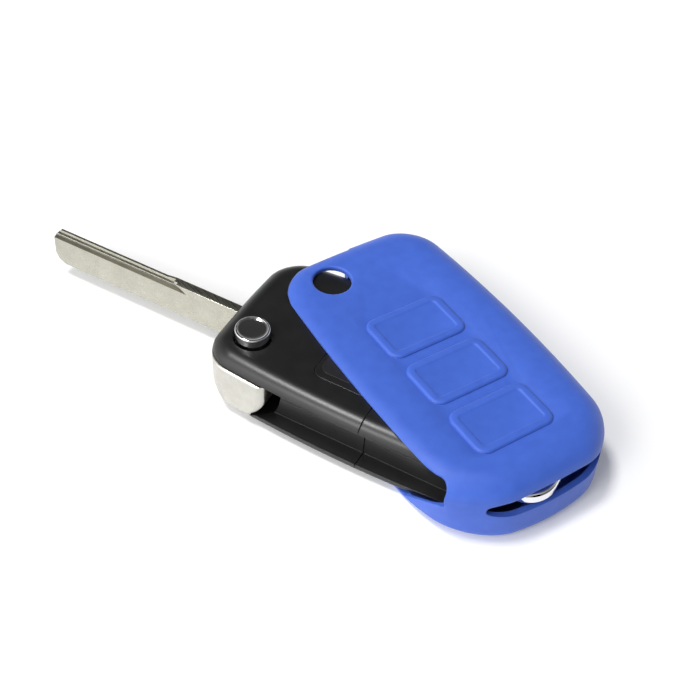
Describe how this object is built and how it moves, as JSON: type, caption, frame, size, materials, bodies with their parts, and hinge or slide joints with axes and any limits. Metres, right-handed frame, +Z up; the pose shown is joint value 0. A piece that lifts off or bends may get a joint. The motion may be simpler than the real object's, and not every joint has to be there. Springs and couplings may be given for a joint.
{
  "type": "silicone cover on a folding car key",
  "caption": "Soft silicone key fob cover with button hole, raised pads and tail slot, swung half off the flip key it protects.",
  "frame": {"origin": "plan centre of the cover's closed outline, on its flat underside", "axes": "+X towards the cover's closed long side, +Y towards its head end with the button hole, +Z up; -Z is the outward normal of the underside"},
  "size_m": [0.0743, 0.1172, 0.0174],
  "materials": {
    "silicone": "soft matt silicone, moulded blue",
    "shell_black": "fine grained black plastic",
    "hatch_black": "black plastic, blank",
    "chrome": "bright plated",
    "blade_steel": "nickel plated, satin",
    "hub_silver": "bright satin plated zinc",
    "pin_steel": "ground",
    "spring_steel": "drawn wire",
    "button_chrome": "bright plated, dished",
    "button_rubber": "matt black rubber",
    "mat_rubber": "soft grey rubber",
    "board_green": "solder-masked board",
    "switch_metal": "stamped",
    "chip_black": "moulded",
    "cell_steel": "rolled can",
    "contact_brass": "sprung leaf",
    "capsule_glass": "clear",
    "screw_steel": "plated"
  },
  "bodies": {
    "cover": {"silicone_cover": "silicone"},
    "key": {"head_upper_shell": "shell_black", "head_lower_shell": "shell_black", "remote_upper_shell": "shell_black", "remote_lower_shell": "shell_black", "battery_hatch": "hatch_black", "keyring_bow": "chrome", "hub_pin": "pin_steel", "flip_spring": "spring_steel", "release_spring": "spring_steel", "button_mat": "mat_rubber", "circuit_board": "board_green", "tact_switches": "switch_metal", "board_chips": "chip_black", "battery_cell": "cell_steel", "battery_contact_plus": "contact_brass", "battery_contact_minus": "contact_brass", "transponder_capsule": "capsule_glass", "shell_screws": "screw_steel"},
    "blade": {"key_blade": "blade_steel", "blade_hub": "hub_silver", "tang_pin": "pin_steel"},
    "release": {"release_button": "button_chrome"},
    "unlock": {"unlock_button": "button_rubber"},
    "boot": {"boot_button": "button_rubber"},
    "lock": {"lock_button": "button_rubber"}
  },
  "joints": [
    {"name": "key_swing", "type": "hinge", "parent": "cover", "child": "key", "pos_m": [-0.0107, -0.0205, 0], "axis": [0, 0, 1], "range_deg": [-27.9, 0], "deforming": ["silicone_cover"]},
    {"name": "blade_flip", "type": "hinge", "parent": "key", "child": "blade", "pos_m": [-0.03236, 0.0233, 0], "axis": [0, 0, 1], "range_deg": [0, 180], "stiffness_Nm_per_rad": 0.004, "springref_deg": -45.84},
    {"name": "release_press", "type": "slide", "parent": "key", "child": "release", "axis": [0, 0, -1], "range_m": [0, 0.0015], "stiffness_N_per_m": 400, "springref_m": -0.001, "deforming": ["release_spring"]},
    {"name": "unlock_press", "type": "slide", "parent": "key", "child": "unlock", "axis": [0, 0, -1], "range_m": [0, 0.0006], "stiffness_N_per_m": 1500, "springref_m": -0.0003},
    {"name": "boot_press", "type": "slide", "parent": "key", "child": "boot", "axis": [0, 0, -1], "range_m": [0, 0.0006], "stiffness_N_per_m": 1500, "springref_m": -0.0003},
    {"name": "lock_press", "type": "slide", "parent": "key", "child": "lock", "axis": [0, 0, -1], "range_m": [0, 0.0006], "stiffness_N_per_m": 1500, "springref_m": -0.0003}
  ]
}
